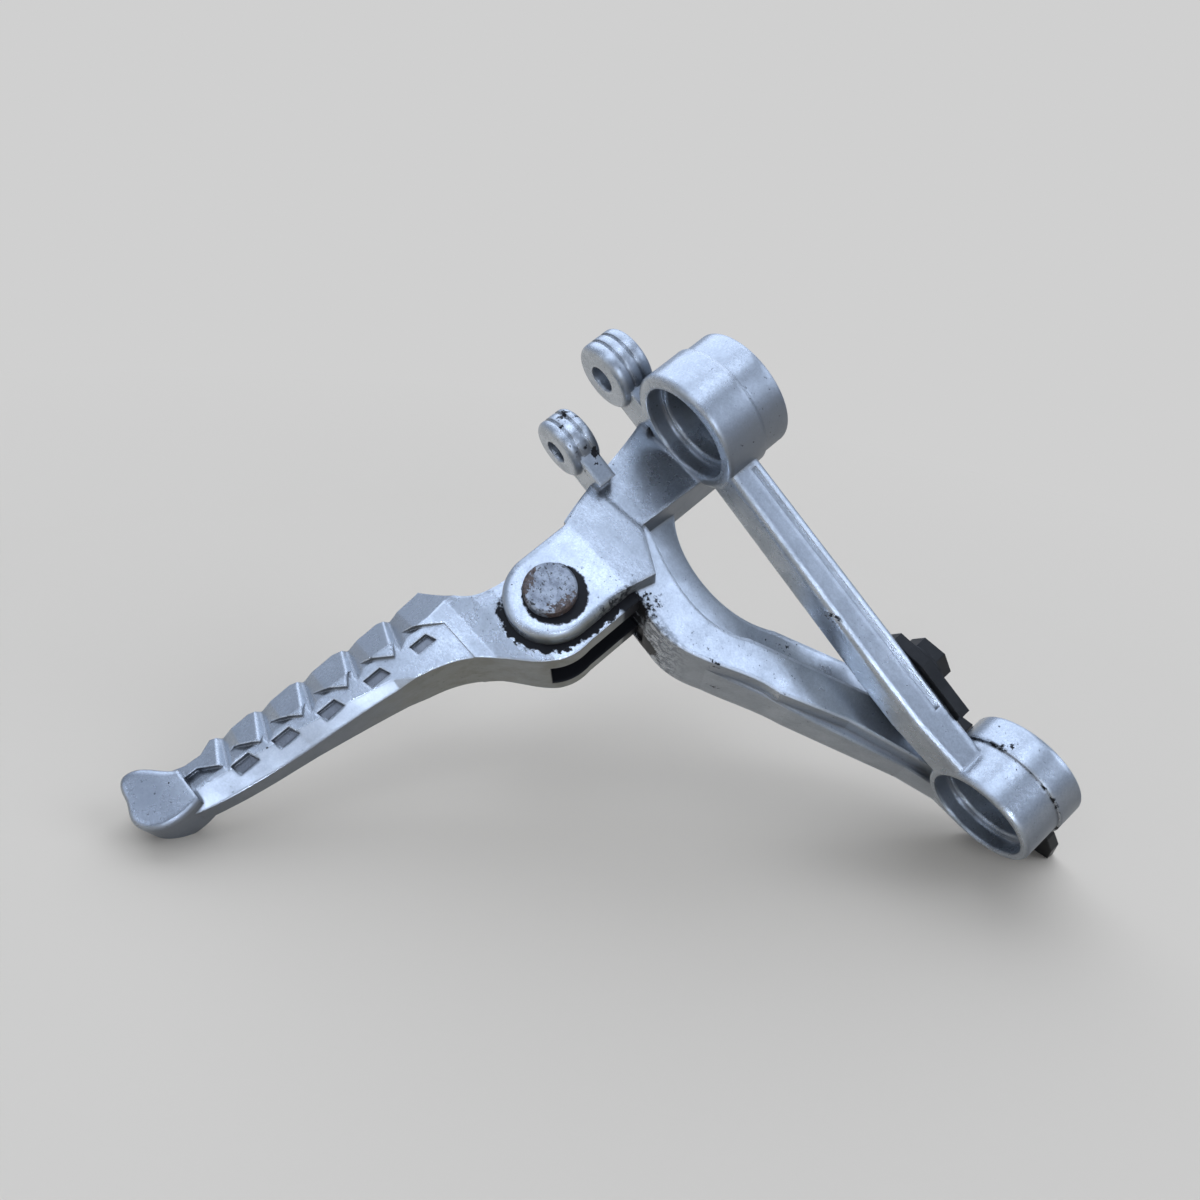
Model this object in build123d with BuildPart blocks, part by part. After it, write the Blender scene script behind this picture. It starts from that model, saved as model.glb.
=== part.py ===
from build123d import *
import math
import os

os.makedirs("parts", exist_ok=True)

# Origin: axis of the upper boss at its inboard mounting face.
# X points rearward, Y outboard, Z up. All sizes in millimetres.

# Bosses and their bores
boss_spacing = 111.2
boss_depth = 18.8
flange_radius = 14.5
flange_depth = 7.9
upper_boss_radius = 15.2
lower_boss_radius = 13.9
boss_edge_radius = 1.0
boss_rim_radius = 1.0
socket_radius = 12.1
socket_depth = 4.4
seat_radius = 10.5
seat_height = 8.0
bolt_bore_radius = 4.5
boss_web_back = 21.0
boss_web_half_height = 12.0
boss_web_inner = 4.4
boss_web_outer = 13.5

# Strut between the bosses
strut_half_thickness = 6.0
strut_inner = 10.4
strut_top_outer = 18.5
strut_low_outer = 19.6
strut_edge_radius = 1.6
strut_groove_centre = 12.9
strut_groove_radius = 0.7

# Hinge: the pin leans so that the peg folds up and rearward
pivot_x = 18.51
pivot_y = 64.0
pivot_z = -14.34
hinge_tilt = 21.6
pin_radius = 4.0
running_clearance = 0.05
eye_width = 20.2
hinge_gap = 0.3
ear_thickness = 4.4
ear_radius = 10.65
ear_edge_radius = 1.4
root_wall = 15.0
root_depth = 26.0
fork_floor = 15.5
fork_mouth = 40.0

# Detent parts between the peg and the rear ear
detent_plate_thickness = 1.6
detent_plate_radius = 11.4
detent_plate_tail = 7.0
detent_circle_radius = 8.2
detent_ball_radius = 2.5
detent_ball_reach = 0.85
detent_hole_clearance = 0.1
detent_hole_depth = 9.6
detent_track_depth = 0.9
detent_track_half_width = 1.9
spring_wire_radius = 0.3
spring_coils = 5

# Pin head, washer and retaining clip
pin_head_radius = 6.0
pin_head_height = 2.9
pin_head_chamfer = 0.45
washer_radius = 7.6
washer_thickness = 1.2
washer_clearance = 0.15
clip_thickness = 1.0
clip_groove_depth = 0.8
clip_radius = 6.4
clip_seat_clearance = 0.05
pin_tail = 1.8

# Arms from the hinge to the bosses
arm_a_thickness = 15.0
arm_a_recess = 0.5
arm_a_crease = 13.5
arm_a_lean = 7.5
arm_b_front_x = 5.0
arm_b_front_y = 50.0
arm_b_slant = 0.1935
arm_b_back_x = 26.0
arm_b_step = 5.5

# Lugs on the upper arm
lug_1_x = 14.5
lug_1_z = 21.8
lug_1_face = 20.4
lug_1_length = 9.4
lug_1_radius = 8.5
lug_1_hole_radius = 3.5
lug_2_x = 12.5
lug_2_z = 14.8
lug_2_face = 40.9
lug_2_length = 7.8
lug_2_radius = 7.3
lug_2_hole_radius = 2.9
lug_rim_radius = 1.6
lug_neck_half_width = 5.2
lug_1_neck = 15.5
lug_2_neck = 12.5
lug_groove_radius = 0.45
lug_groove_spacing = 2.8

# Footpeg
peg_eye_radius = 11.4
peg_heel_depth = 13.0
stop_gap = 0.05
peg_slot_centre = 0.7
peg_slot_width = 10.5
peg_slot_end = 9.5
peg_slot_top = 1.5
peg_slot_reach = 20.0
peg_barrel_radius = 7.5
knob_half_width = 6.9
knob_edge_radius = 1.5
knob_groove_pitch = 3.6
knob_groove_half_width = 0.6
knob_groove_depth = 0.6
tooth_relief = 0.8
tooth_groove_depth = 1.1
tooth_groove_run = 5.5
tooth_groove_rise = 1.3
tooth_groove_lean = 4.0
tooth_groove_slant = 12.0
pocket_depth = 1.7
pocket_length = 4.6
pocket_height = 2.7
pocket_skew = 1.0
fold_range = 88.0

# Cargo hook and its bolt
hook_thickness = 2.8
hook_bolt_x = 0.0
hook_bolt_above_boss = 35.2
hook_bolt_radius = 3.0
hook_bolt_head_flats = 10.0
hook_bolt_head_height = 3.2
hook_bolt_flange_radius = 6.2
hook_bolt_flange_height = 1.2
hook_bolt_clearance = 0.3
hook_thread_depth = 6.5
hook_thread_spare = 0.5
hook_bend_above_boss = 16.7
hook_bend_height = 11.5
hook_low_inner = 0.8
hook_flange_gap = 0.9
hook_bolt_z = hook_bolt_above_boss - boss_spacing

# Reach of the cutting blocks
cutter_size = 200.0
cutter_depth = 20.0

tilt = math.radians(hinge_tilt)
pin_direction = Vector(math.cos(tilt), 0, -math.sin(tilt))
pivot = Vector(pivot_x, pivot_y, pivot_z)
half_eye = eye_width / 2
front_ear_inner = -half_eye - hinge_gap
front_ear_outer = front_ear_inner - ear_thickness
rear_ear_inner = half_eye + hinge_gap + detent_plate_thickness
rear_ear_outer = rear_ear_inner + ear_thickness


def hinge_plane(along_pin):
    # x runs outboard, y is the fold-up direction and z runs along the pin
    return Plane(origin=pivot + pin_direction * along_pin, x_dir=(0, 1, 0), z_dir=pin_direction)


def boss_plane(height, x, z):
    # z runs outboard, x rearward
    return Plane(origin=(x, height, z), x_dir=(1, 0, 0), z_dir=(0, 1, 0))


# Upper arm, a tapering web whose sides run along the pin
arm_reach = boss_web_inner - pivot_y
arm_a_top = [(-13.5, 11.1), (-24.5, 14.6), (-36.1, 17.6), (-54.0, 24.5)]
arm_a_foot = [(arm_reach, 24.5), (arm_reach, -0.6), (-27.0, -0.6), (-23.0, -4.0), (-13.5, -4.0)]
face_start = pivot + pin_direction * (front_ear_outer + arm_a_recess)
lean = math.radians(arm_a_lean)
lean_out = Vector(pin_direction.X * -math.sin(lean), math.cos(lean), pin_direction.Z * -math.sin(lean))
lean_normal = Vector(pin_direction.X * math.cos(lean), math.sin(lean), pin_direction.Z * math.cos(lean))
with BuildPart() as arm_a:
    with BuildSketch(hinge_plane(front_ear_outer + arm_a_recess)):
        with BuildLine():
            Spline(*arm_a_top)
            Polyline(arm_a_top[-1], *arm_a_foot, arm_a_top[0])
        make_face()
    extrude(amount=arm_a_thickness + arm_a_recess)
    with BuildSketch(Plane(origin=face_start - Vector(0, arm_a_crease, 0), x_dir=lean_out,
                           z_dir=lean_normal)):
        Rectangle(cutter_size, cutter_size)
    extrude(amount=-cutter_depth, mode=Mode.SUBTRACT)

# Lower arm: a raised face on a wider web that ends behind the lower boss
lower_end = -(boss_spacing + pivot_z) * math.cos(tilt) - pivot_x * math.sin(tilt)
arm_b_web_front = [(-14.2, -16.0), (-16.6, -27.0), (-22.5, -38.0), (-29.5, -50.5)]
arm_b_web_end = [(-45.0, lower_end + 18.4), (-49.5, lower_end + 7.9), (-51.0, lower_end - 2.0),
                 (arm_reach, lower_end - 6.1), (arm_reach, lower_end + 30.9), (-39.4, -34.8)]
arm_b_web_back = [(-39.4, -34.8), (-33.8, -26.0), (-32.1, -17.0), (-34.2, -5.5), (-38.0, 0.0)]
arm_b_face_front = [(-14.2, -18.5), (-15.4, -25.5), (-20.6, -34.2), (-28.4, -47.2)]
arm_b_face_end = [(-38.4, lower_end + 34.8), (-49.8, lower_end + 12.2), (-53.8, lower_end + 8.9),
                  (-51.5, lower_end + 30.9), (-46.4, lower_end + 38.2), (-30.9, -33.7)]
arm_b_face_back = [(-30.9, -33.7), (-25.6, -25.0), (-24.9, -15.0), (-27.6, -3.0)]
face_normal = Vector(1, arm_b_slant, 0).normalized()
arm_b_depth = 120.0
with BuildPart() as arm_b_face:
    with BuildSketch(hinge_plane(-arm_b_depth / 2)):
        with BuildLine():
            Spline(*arm_b_face_front)
            Polyline(arm_b_face_front[-1], *arm_b_face_end)
            Spline(*arm_b_face_back)
            Polyline(arm_b_face_back[-1], (-27.6, 2.0), (-14.2, -4.0), arm_b_face_front[0])
        make_face()
    extrude(amount=arm_b_depth)
    with BuildSketch(Plane(origin=(arm_b_front_x, arm_b_front_y, 0), x_dir=(0, 0, 1), z_dir=face_normal)):
        Rectangle(cutter_size * 2, cutter_size * 2)
    extrude(amount=-arm_b_depth, mode=Mode.SUBTRACT)
    with BuildSketch(Plane(origin=(arm_b_back_x, 0, 0), x_dir=(0, 1, 0), z_dir=(1, 0, 0))):
        Rectangle(cutter_size * 2, cutter_size * 2)
    extrude(amount=arm_b_depth, mode=Mode.SUBTRACT)

with BuildPart() as arm_b_web:
    with BuildSketch(hinge_plane(-arm_b_depth / 2)):
        with BuildLine():
            Spline(*arm_b_web_front)
            Polyline(arm_b_web_front[-1], *arm_b_web_end)
            Spline(*arm_b_web_back)
            Polyline(arm_b_web_back[-1], (-30.0, 6.0), (-14.2, -4.0), arm_b_web_front[0])
        make_face()
    extrude(amount=arm_b_depth)
    with BuildSketch(Plane(origin=(arm_b_front_x + arm_b_step * face_normal.X, arm_b_front_y, 0),
                           x_dir=(0, 0, 1), z_dir=face_normal)):
        Rectangle(cutter_size * 2, cutter_size * 2)
    extrude(amount=-arm_b_depth, mode=Mode.SUBTRACT)
    with BuildSketch(Plane(origin=(arm_b_back_x, 0, 0), x_dir=(0, 1, 0), z_dir=(1, 0, 0))):
        Rectangle(cutter_size * 2, cutter_size * 2)
    extrude(amount=arm_b_depth, mode=Mode.SUBTRACT)

# Hinge block with its two ears
ear_root = [(-14.2, ear_radius), (-24.5, 14.6), (-root_depth, -2.0), (-20.5, -11.8), (-14.2, -ear_radius)]
with BuildPart() as hinge_block:
    with BuildSketch(hinge_plane(front_ear_outer)):
        with BuildLine():
            ThreePointArc((0, -ear_radius), (ear_radius, 0), (0, ear_radius))
            Polyline((0, ear_radius), *ear_root, (0, -ear_radius))
        make_face()
    extrude(amount=rear_ear_outer - front_ear_outer)
    for ear_face in (front_ear_outer, rear_ear_outer):
        ear_rim = hinge_block.edges().filter_by(GeomType.CIRCLE).sort_by(
            lambda e: abs((e.center() - pivot).dot(pin_direction) - ear_face))[0]
        fillet(ear_rim, radius=ear_edge_radius)
    with BuildSketch(Plane(origin=pivot + pin_direction * front_ear_outer - Vector(0, arm_a_crease, 0),
                           x_dir=lean_out, z_dir=lean_normal)):
        with Locations((-root_depth, 0)):
            Rectangle(root_depth * 2, cutter_size)
    extrude(amount=-cutter_depth, mode=Mode.SUBTRACT)

# Bracket casting
with BuildPart() as upper_boss:
    with BuildSketch(boss_plane(0, 0, 0)):
        Circle(flange_radius)
    extrude(amount=flange_depth)
    with BuildSketch(boss_plane(flange_depth, 0, 0)):
        Circle(upper_boss_radius)
    extrude(amount=boss_depth - flange_depth)
    fillet(upper_boss.edges().group_by(Axis.Y)[-1], radius=boss_rim_radius)
    fillet(upper_boss.edges().group_by(Axis.Y)[0], radius=boss_edge_radius)

with BuildPart() as lower_boss:
    with BuildSketch(boss_plane(0, 0, -boss_spacing)):
        Circle(flange_radius)
    extrude(amount=flange_depth)
    with BuildSketch(boss_plane(flange_depth, 0, -boss_spacing)):
        Circle(lower_boss_radius)
    extrude(amount=boss_depth - flange_depth)
    fillet(lower_boss.edges().group_by(Axis.Y)[-1], radius=boss_rim_radius)
    fillet(lower_boss.edges().group_by(Axis.Y)[0], radius=boss_edge_radius)

strut_foot = 6.0 - boss_spacing
strut_bend_top = 41.2 - boss_spacing
strut_bend_low = 27.2 - boss_spacing
strut_head = -6.0
with BuildPart() as strut:
    with BuildSketch(Plane(origin=(-strut_half_thickness, 0, 0), x_dir=(0, 1, 0), z_dir=(1, 0, 0))):
        with BuildLine():
            Polyline((strut_inner, strut_head), (strut_top_outer, strut_head),
                     (strut_low_outer, strut_bend_top), (strut_low_outer, strut_bend_low),
                     (boss_depth - boss_rim_radius, strut_foot), (strut_inner, strut_foot), close=True)
        make_face()
    extrude(amount=strut_half_thickness * 2)
    strut_long_edges = strut.edges().sort_by(SortBy.LENGTH)[-4:]
    fillet(strut_long_edges, radius=strut_edge_radius)
    with BuildSketch(Plane(origin=(-strut_half_thickness, strut_groove_centre, -upper_boss_radius),
                           x_dir=(1, 0, 0), z_dir=(0, 0, -1))):
        Circle(strut_groove_radius)
    extrude(amount=-strut_bend_low - upper_boss_radius, mode=Mode.SUBTRACT)

with BuildPart() as lugs:
    for lug_x, lug_z, lug_face, lug_length, lug_radius in (
        (lug_1_x, lug_1_z, lug_1_face, lug_1_length, lug_1_radius),
        (lug_2_x, lug_2_z, lug_2_face, lug_2_length, lug_2_radius),
    ):
        with BuildSketch(boss_plane(lug_face - lug_length, lug_x, lug_z)):
            Circle(lug_radius)
        extrude(amount=lug_length)
    fillet(lugs.edges().filter_by(GeomType.CIRCLE), radius=lug_rim_radius)
    for lug_x, lug_z, lug_face, lug_length, lug_radius in (
        (lug_1_x, lug_1_z, lug_1_face, lug_1_length, lug_1_radius),
        (lug_2_x, lug_2_z, lug_2_face, lug_2_length, lug_2_radius),
    ):
        for groove_place in (-lug_groove_spacing / 2, lug_groove_spacing / 2):
            with BuildSketch(Plane(origin=(lug_x, lug_face - lug_length / 2 + groove_place, lug_z))):
                with Locations((lug_radius, 0)):
                    Circle(lug_groove_radius)
            revolve(axis=Axis(origin=(lug_x, 0, lug_z), direction=(0, 1, 0)), mode=Mode.SUBTRACT)

with BuildPart() as bracket:
    add(arm_a.part)
    add(arm_b_face.part)
    add(arm_b_web.part)
    add(hinge_block.part)
    add(upper_boss.part)
    add(lower_boss.part)
    add(strut.part)
    add(lugs.part)
    # webs that carry the arms round the rear of the bosses
    for web_z in (0, -boss_spacing):
        with BuildSketch(boss_plane(boss_web_inner, boss_web_back / 2, web_z)):
            Rectangle(boss_web_back, boss_web_half_height * 2)
        extrude(amount=boss_web_outer - boss_web_inner)
    # necks of the lugs
    for lug_x, lug_z, lug_face, lug_length, neck_foot in (
        (lug_1_x, lug_1_z, lug_1_face, lug_1_length, lug_1_z - lug_1_neck),
        (lug_2_x, lug_2_z, lug_2_face, lug_2_length, lug_2_z - lug_2_neck),
    ):
        with BuildSketch(boss_plane(lug_face - lug_length / 2, lug_x, (lug_z + neck_foot) / 2)):
            Rectangle(lug_neck_half_width * 2, lug_z - neck_foot)
        extrude(amount=lug_length / 2 - lug_rim_radius, both=True)
    # bores
    for bore_z in (0, -boss_spacing):
        with BuildSketch(boss_plane(boss_depth - socket_depth, 0, bore_z)):
            Circle(socket_radius)
        extrude(amount=socket_depth, mode=Mode.SUBTRACT)
        with BuildSketch(boss_plane(seat_height, 0, bore_z)):
            Circle(seat_radius)
        extrude(amount=boss_depth, mode=Mode.SUBTRACT)
        with BuildSketch(boss_plane(0, 0, bore_z)):
            Circle(bolt_bore_radius)
        extrude(amount=boss_depth, mode=Mode.SUBTRACT)
    with BuildSketch(boss_plane(lug_1_face, lug_1_x, lug_1_z)):
        Circle(lug_1_hole_radius)
    extrude(amount=-lug_1_length, mode=Mode.SUBTRACT)
    with BuildSketch(boss_plane(lug_2_face, lug_2_x, lug_2_z)):
        Circle(lug_2_hole_radius)
    extrude(amount=-lug_2_length, mode=Mode.SUBTRACT)
    with BuildSketch(boss_plane(strut_inner, hook_bolt_x, hook_bolt_z)):
        Circle(hook_bolt_radius)
    extrude(amount=hook_thread_depth, mode=Mode.SUBTRACT)
    # fork between the ears, and the pin holes
    with BuildSketch(hinge_plane(front_ear_inner)):
        with BuildLine():
            Polyline((-root_wall, -fork_floor), (-root_wall, fork_mouth), (fork_mouth, fork_mouth),
                     (fork_mouth, -fork_floor), close=True)
        make_face()
    extrude(amount=rear_ear_inner - front_ear_inner, mode=Mode.SUBTRACT)
    with BuildSketch(hinge_plane(front_ear_outer)):
        Circle(pin_radius + running_clearance)
    extrude(amount=rear_ear_outer - front_ear_outer, mode=Mode.SUBTRACT)
bracket.part.label = "bracket"
export_step(bracket.part, "parts/bracket.step")

# Footpeg: side view, with a saw-toothed crest
keel_curve = [(0.0, -peg_heel_depth), (9.8, -10.4), (17.4, -2.0), (25.0, 3.6), (37.7, 7.2), (60.0, 10.4),
              (86.0, 15.0)]
crest_line = [(91.0, 17.0), (93.6, 22.0), (93.4, 28.0), (90.5, 29.4), (83.0, 26.0), (79.0, 25.7),
              (75.8, 27.9), (73.2, 26.4), (66.1, 27.0), (63.2, 25.7), (55.3, 26.4), (52.2, 25.1),
              (43.9, 25.8), (40.3, 24.4), (31.9, 25.1), (29.0, 23.7), (19.8, 25.1)]
neck_curve = [(19.8, 25.1), (16.9, 18.5), (13.0, 13.4), (8.0, 11.0), (0.0, peg_eye_radius)]
heel_line = [(-peg_eye_radius, 0.0), (-13.0, -4.0), (-root_wall + stop_gap, -8.0),
             (-root_wall + stop_gap, -peg_heel_depth), (0.0, -peg_heel_depth)]
# half widths along the peg, seen from above
width_line = [(-16.0, half_eye), (8.5, half_eye), (12.5, 9.2), (17.5, 8.3), (22.5, 9.3), (29.0, 9.5),
              (43.0, 8.8), (62.0, 7.9), (80.0, 6.6), (95.0, 5.6)]
# roof flanks: station, half width and height at the crest, then at the shoulder
roof_sections = [(14.0, 0.8, 24.6, 9.8, 14.6), (88.0, 0.8, 28.5, 6.3, 20.3)]
# keel flanks: station, half width and height at the keel, then at the side face
keel_sections = [(18.0, 9.9, -4.0, 10.3, 0.0), (37.7, 6.5, 7.0, 9.4, 12.4), (60.0, 3.4, 10.2, 8.4, 16.6),
                 (88.0, 3.0, 15.0, 6.6, 21.0)]
# lower edges of the teeth, rising outboard, with the side face below them
tooth_feet = [(21.0, 12.0), (29.6, 17.9), (32.0, 16.9), (34.1, 13.2), (41.5, 18.6), (43.9, 17.6),
              (45.9, 14.6), (52.6, 19.8), (55.0, 18.8), (57.0, 16.1), (63.0, 20.8), (65.4, 19.8),
              (67.1, 17.5), (72.3, 21.6), (74.6, 20.8), (76.3, 19.0), (81.0, 22.9), (90.0, 23.0)]
tooth_valleys = [29.0, 40.3, 52.2, 63.2, 73.2]
pocket_centres = [(27.5, 11.6), (39.8, 12.3), (51.6, 13.4), (62.6, 15.1), (72.4, 16.4)]
knob_curve = [(84.0, 24.8), (88.6, 29.0), (91.6, 31.0), (93.9, 31.0), (95.4, 29.0), (96.0, 25.8),
              (97.2, 22.3), (96.6, 19.0), (94.4, 16.7), (91.0, 15.4), (87.5, 15.2), (84.0, 15.8)]
section_up = hinge_plane(0).y_dir


def section_plane(station):
    # cross-section of the peg: x along the pin, y up
    return Plane(origin=pivot + Vector(0, station, 0), x_dir=pin_direction, z_dir=(0, -1, 0))


def half_width_at(station):
    for (near_x, near_half), (far_x, far_half) in zip(width_line, width_line[1:]):
        if near_x <= station < far_x:
            return near_half + (far_half - near_half) * (station - near_x) / (far_x - near_x)


with BuildPart() as tooth_ledge:
    with BuildSketch(hinge_plane(-cutter_depth)):
        with BuildLine():
            Polyline(*tooth_feet, (90.0, -20.0), (21.0, -20.0), close=True)
        make_face()
    extrude(amount=cutter_depth * 2)
    for station, crest_half, crest, shoulder_half, shoulder in roof_sections:
        core_half = shoulder_half - tooth_relief
        with BuildSketch(section_plane(station)):
            with BuildLine():
                Polyline((-core_half, -cutter_depth), (-core_half, shoulder - tooth_relief),
                         (0, crest - tooth_relief), (core_half, shoulder - tooth_relief),
                         (core_half, -cutter_depth), close=True)
            make_face()
    loft(mode=Mode.SUBTRACT)

with BuildPart() as knob:
    with BuildSketch(hinge_plane(-knob_half_width)):
        with BuildLine():
            Spline(*knob_curve)
            Line(knob_curve[-1], knob_curve[0])
        make_face()
    extrude(amount=knob_half_width * 2)
    fillet(knob.edges().sort_by(SortBy.LENGTH)[-2:], radius=knob_edge_radius)
    # grip grooves over the tip
    for groove in (-1, 0, 1):
        with BuildSketch(Plane(origin=pivot + Vector(0, knob_curve[2][0], 0) + section_up * knob_curve[2][1],
                               x_dir=pin_direction, z_dir=(0, 1, 0))):
            with Locations((groove * knob_groove_pitch, 0)):
                Polygon((-knob_groove_half_width, -knob_groove_half_width), (0, knob_groove_depth),
                        (knob_groove_half_width, -knob_groove_half_width), align=None)
        extrude(amount=knob_half_width, both=True, mode=Mode.SUBTRACT)

with BuildPart() as footpeg:
    with BuildSketch(hinge_plane(-half_eye)):
        with BuildLine():
            Spline(*keel_curve)
            Polyline(keel_curve[-1], *crest_line)
            Spline(*neck_curve)
            ThreePointArc(neck_curve[-1], (-peg_eye_radius * math.sin(math.radians(45)),
                                           peg_eye_radius * math.cos(math.radians(45))), heel_line[0])
            Polyline(*heel_line)
        make_face()
    extrude(amount=eye_width)
    with BuildSketch(Plane(origin=pivot - section_up * cutter_size / 2, x_dir=(0, 1, 0), z_dir=section_up)):
        with BuildLine():
            Polyline(*width_line, *[(x, -y) for x, y in reversed(width_line)], close=True)
        make_face()
    extrude(amount=cutter_size, mode=Mode.INTERSECT)
    # roof shaped tread, and flanks that narrow to the keel
    for side in (-1, 1):
        for station, crest_half, crest, shoulder_half, shoulder in roof_sections:
            with BuildSketch(section_plane(station)):
                with BuildLine():
                    Polyline((side * crest_half, crest), (side * shoulder_half, shoulder),
                             (side * eye_width, shoulder), (side * eye_width, crest + eye_width),
                             (side * crest_half, crest + eye_width), close=True)
                make_face()
        loft(mode=Mode.SUBTRACT)
    for side in (-1, 1):
        for station, keel_half, keel, side_half, side_up in keel_sections:
            with BuildSketch(section_plane(station)):
                with BuildLine():
                    Polyline((side * keel_half, keel), (side * side_half, side_up),
                             (side * eye_width, side_up), (side * eye_width, keel - eye_width),
                             (side * keel_half, keel - eye_width), close=True)
                make_face()
        loft(ruled=True, mode=Mode.SUBTRACT)
    # teeth: V grooves down both sides of the roof, steep towards the tip
    first, last = roof_sections
    for side in (-1, 1):
        for valley_x in tooth_valleys:
            part_way = (valley_x - first[0]) / (last[0] - first[0])
            crest_half, crest, shoulder_half, shoulder = [
                a + (b - a) * part_way for a, b in zip(first[1:], last[1:])]
            roof_angle = math.atan2(crest - shoulder, shoulder_half - crest_half)
            ridge = crest + crest_half * math.tan(roof_angle)
            roof_angle += math.radians(tooth_groove_lean)
            run_down = (pin_direction * side * math.cos(roof_angle) - section_up * math.sin(roof_angle)
                        + Vector(0, math.tan(math.radians(tooth_groove_slant)), 0)).normalized()
            over = pin_direction * side * math.sin(roof_angle) + section_up * math.cos(roof_angle)
            with BuildSketch(Plane(origin=pivot + Vector(0, valley_x, 0) + section_up * ridge
                                   - run_down * tooth_groove_rise, x_dir=over, z_dir=run_down)):
                with BuildLine():
                    Polyline((-tooth_groove_depth, 0), (tooth_groove_depth, side * tooth_groove_run),
                             (tooth_groove_depth, -side * tooth_groove_rise), close=True)
                make_face()
            extrude(amount=eye_width, mode=Mode.SUBTRACT)
    add(tooth_ledge.part, mode=Mode.SUBTRACT)
    # leaning pockets under the teeth
    for side in (-1, 1):
        for pocket_x, pocket_up in pocket_centres:
            floor_half = half_width_at(pocket_x) - tooth_relief - pocket_depth
            with BuildSketch(hinge_plane(side * floor_half)):
                with Locations((pocket_x, pocket_up)):
                    Polygon((-pocket_length / 2 - pocket_skew / 2, -pocket_height / 2),
                            (pocket_length / 2, -pocket_height / 2),
                            (pocket_length / 2 + pocket_skew / 2, pocket_height / 2),
                            (-pocket_length / 2 + pocket_skew / 2, pocket_height / 2), align=None)
            extrude(amount=side * eye_width, mode=Mode.SUBTRACT)
    add(knob.part)
    # pocket in the eye
    with BuildSketch(hinge_plane(peg_slot_centre - peg_slot_width / 2)):
        with BuildLine():
            Polyline((-peg_slot_reach, -peg_slot_reach), (peg_slot_end, -peg_slot_reach),
                     (peg_slot_end, peg_slot_top), (-peg_slot_reach, peg_slot_top), close=True)
        make_face()
        Circle(peg_barrel_radius, mode=Mode.SUBTRACT)
    extrude(amount=peg_slot_width, mode=Mode.SUBTRACT)
    with BuildSketch(hinge_plane(-half_eye)):
        Circle(pin_radius + running_clearance)
    extrude(amount=eye_width, mode=Mode.SUBTRACT)
    # blind hole of the detent ball
    with BuildSketch(hinge_plane(half_eye)):
        with Locations((0, detent_circle_radius)):
            Circle(detent_ball_radius + detent_hole_clearance)
    extrude(amount=-detent_hole_depth, mode=Mode.SUBTRACT)
footpeg.part.label = "footpeg"
export_step(footpeg.part, "parts/footpeg.step")

# Pivot pin, its washer and clip
clip_start = rear_ear_outer + washer_thickness
pin_end = clip_start + clip_thickness + clip_seat_clearance + pin_tail
with BuildPart() as pivot_pin:
    with BuildSketch(hinge_plane(front_ear_outer - pin_head_height)):
        Circle(pin_head_radius)
    extrude(amount=pin_head_height)
    head_edges = pivot_pin.edges().sort_by(lambda e: (e.center() - pivot).dot(pin_direction))
    chamfer(head_edges[0], length=pin_head_chamfer)
    with BuildSketch(hinge_plane(front_ear_outer)):
        Circle(pin_radius)
    extrude(amount=pin_end - front_ear_outer)
    with BuildSketch(hinge_plane(clip_start)):
        Circle(pin_radius)
        Circle(pin_radius - clip_groove_depth, mode=Mode.SUBTRACT)
    extrude(amount=clip_thickness + clip_seat_clearance, mode=Mode.SUBTRACT)
pivot_pin.part.label = "pivot_pin"
export_step(pivot_pin.part, "parts/pivot_pin.step")

with BuildPart() as pin_washer:
    with BuildSketch(hinge_plane(rear_ear_outer)):
        Circle(washer_radius)
        Circle(pin_radius + washer_clearance, mode=Mode.SUBTRACT)
    extrude(amount=washer_thickness)
pin_washer.part.label = "pin_washer"
export_step(pin_washer.part, "parts/pin_washer.step")

clip_inner = pin_radius - clip_groove_depth + clip_seat_clearance
with BuildPart() as pin_clip:
    with BuildSketch(hinge_plane(clip_start)):
        Circle(clip_radius)
        Circle(clip_inner, mode=Mode.SUBTRACT)
        with Locations((0, -clip_radius)):
            Rectangle(clip_inner * 1.7, clip_radius * 2, mode=Mode.SUBTRACT)
    extrude(amount=clip_thickness)
pin_clip.part.label = "pin_clip"
export_step(pin_clip.part, "parts/pin_clip.step")

# Detent plate on the rear ear, with a track for the ball
plate_face = half_eye + hinge_gap
with BuildPart() as detent_plate:
    with BuildSketch(hinge_plane(plate_face)):
        Circle(detent_plate_radius)
        with Locations((-root_wall / 2, 0)):
            Rectangle(root_wall - 2 * washer_clearance, detent_plate_tail * 2)
        Circle(pin_radius + washer_clearance, mode=Mode.SUBTRACT)
    extrude(amount=detent_plate_thickness)
    with BuildSketch(hinge_plane(plate_face)):
        with BuildLine():
            CenterArc((0, 0), detent_circle_radius, 90, fold_range)
            offset(amount=detent_track_half_width)
        make_face()
    extrude(amount=detent_track_depth, mode=Mode.SUBTRACT)
detent_plate.part.label = "detent_plate"
export_step(detent_plate.part, "parts/detent_plate.step")

ball_centre = half_eye + detent_ball_reach - detent_ball_radius
with BuildPart() as detent_ball:
    with BuildSketch(Plane(origin=pivot + section_up * detent_circle_radius + pin_direction * ball_centre,
                           x_dir=pin_direction, z_dir=(0, 1, 0))):
        Circle(detent_ball_radius)
        with Locations((0, -detent_ball_radius)):
            Rectangle(detent_ball_radius * 3, detent_ball_radius * 2, mode=Mode.SUBTRACT)
    revolve(axis=Axis(origin=pivot + section_up * detent_circle_radius, direction=pin_direction))
detent_ball.part.label = "detent_ball"
export_step(detent_ball.part, "parts/detent_ball.step")

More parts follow.
